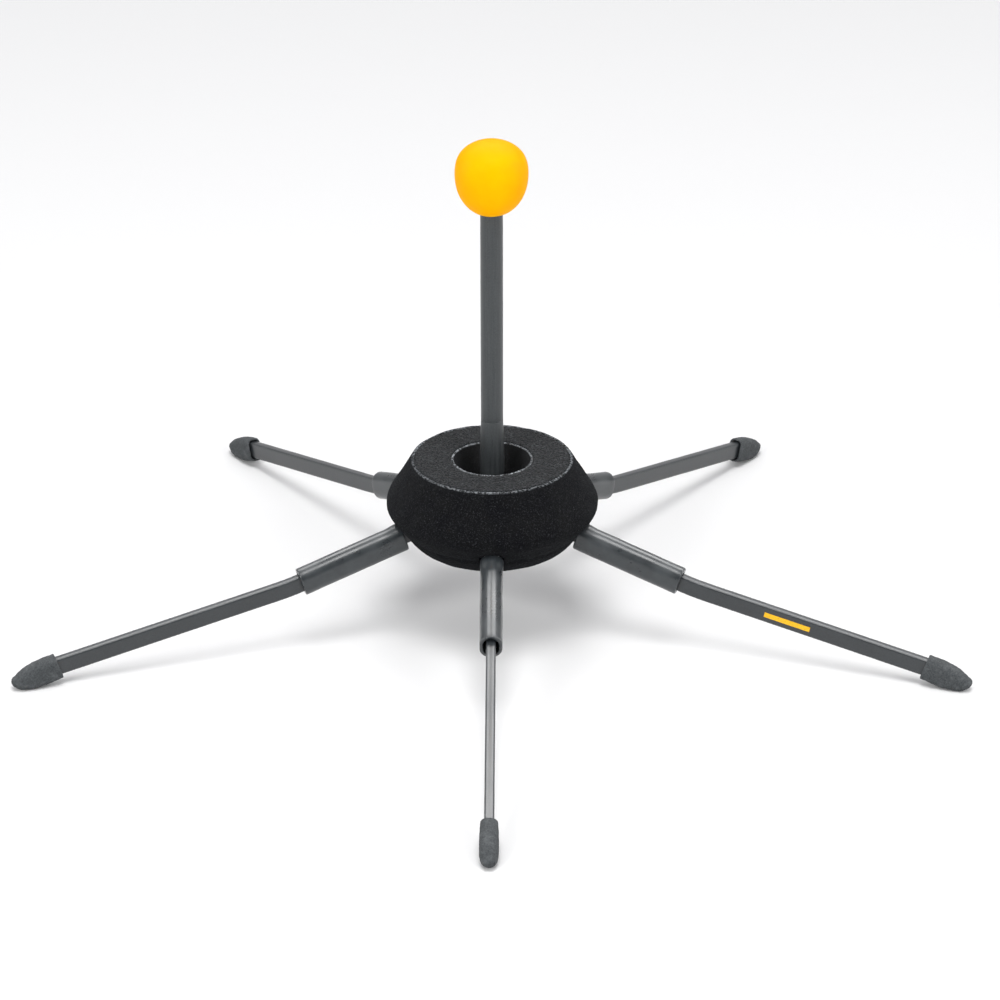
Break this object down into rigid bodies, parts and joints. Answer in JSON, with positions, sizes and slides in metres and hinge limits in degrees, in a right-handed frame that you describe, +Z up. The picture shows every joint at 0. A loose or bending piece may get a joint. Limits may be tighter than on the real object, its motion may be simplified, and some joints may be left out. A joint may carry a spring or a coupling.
{
  "type": "folding trumpet stand",
  "caption": "Folding stand that stands inside a trumpet's bell: capped sliding shaft, foam doughnut rest with velvet skin, and bar legs hinged in a hub with guards and rubber feet.",
  "frame": {"origin": "on the shaft's axis, at the floor the feet stand on", "axes": "+Z up along the shaft, -Y along the front leg, +X to the right seen from the front"},
  "size_m": [0.2974, 0.2829, 0.163],
  "materials": {
    "cap_yellow": "satin, soft touch",
    "shaft_paint": "satin dark grey anodised look",
    "leg_paint": "satin black powder coat",
    "guard_plastic": "soft black vinyl sleeve, glossy",
    "foot_rubber": "matte, slightly rough",
    "foam": "cut closed-cell foam, grainy",
    "velvet": "black velvet, short pile",
    "hub_nylon": "moulded, fine grain",
    "bush_acetal": "turned, smooth",
    "grip_rubber": "smooth",
    "insert_aluminium": "turned",
    "steel": "black zinc plated",
    "mark_yellow": "printed"
  },
  "bodies": {
    "base": {"hub_body": "hub_nylon", "hub_retainer": "hub_nylon", "hub_screws": "steel", "hinge_pins": "steel", "shaft_bush": "bush_acetal", "grip_ring": "grip_rubber", "baffle_foam": "foam", "baffle_cover": "velvet", "baffle_lining": "velvet"},
    "shaft": {"shaft_tube": "shaft_paint", "shaft_ferrule": "shaft_paint", "shaft_cap": "cap_yellow", "cap_insert": "insert_aluminium", "stop_screw": "steel"},
    "leg_front": {"leg_bar_front": "leg_paint", "leg_guard_front": "guard_plastic", "leg_foot_front": "foot_rubber"},
    "leg_front_right": {"leg_bar_front_right": "leg_paint", "leg_guard_front_right": "guard_plastic", "leg_foot_front_right": "foot_rubber", "leg_mark": "mark_yellow"},
    "leg_rear_right": {"leg_bar_rear_right": "leg_paint", "leg_guard_rear_right": "guard_plastic", "leg_foot_rear_right": "foot_rubber"},
    "leg_rear_left": {"leg_bar_rear_left": "leg_paint", "leg_guard_rear_left": "guard_plastic", "leg_foot_rear_left": "foot_rubber"},
    "leg_front_left": {"leg_bar_front_left": "leg_paint", "leg_guard_front_left": "guard_plastic", "leg_foot_front_left": "foot_rubber"}
  },
  "joints": [
    {"name": "shaft_slide", "type": "slide", "parent": "base", "child": "shaft", "axis": [0, 0, -1], "range_m": [0, 0.0924]},
    {"name": "leg_front_fold", "type": "hinge", "parent": "base", "child": "leg_front", "pos_m": [0, -0.0115, 0.0407], "axis": [1, 0, 0], "range_deg": [0, 73]},
    {"name": "leg_front_right_fold", "type": "hinge", "parent": "base", "child": "leg_front_right", "pos_m": [0.01094, -0.00355, 0.0407], "axis": [0.309, 0.9511, 0], "range_deg": [0, 73]},
    {"name": "leg_rear_right_fold", "type": "hinge", "parent": "base", "child": "leg_rear_right", "pos_m": [0.00676, 0.0093, 0.0407], "axis": [-0.809, 0.5878, 0], "range_deg": [0, 73]},
    {"name": "leg_rear_left_fold", "type": "hinge", "parent": "base", "child": "leg_rear_left", "pos_m": [-0.00676, 0.0093, 0.0407], "axis": [-0.809, -0.5878, 0], "range_deg": [0, 73]},
    {"name": "leg_front_left_fold", "type": "hinge", "parent": "base", "child": "leg_front_left", "pos_m": [-0.01094, -0.00355, 0.0407], "axis": [0.309, -0.9511, 0], "range_deg": [0, 73]}
  ]
}
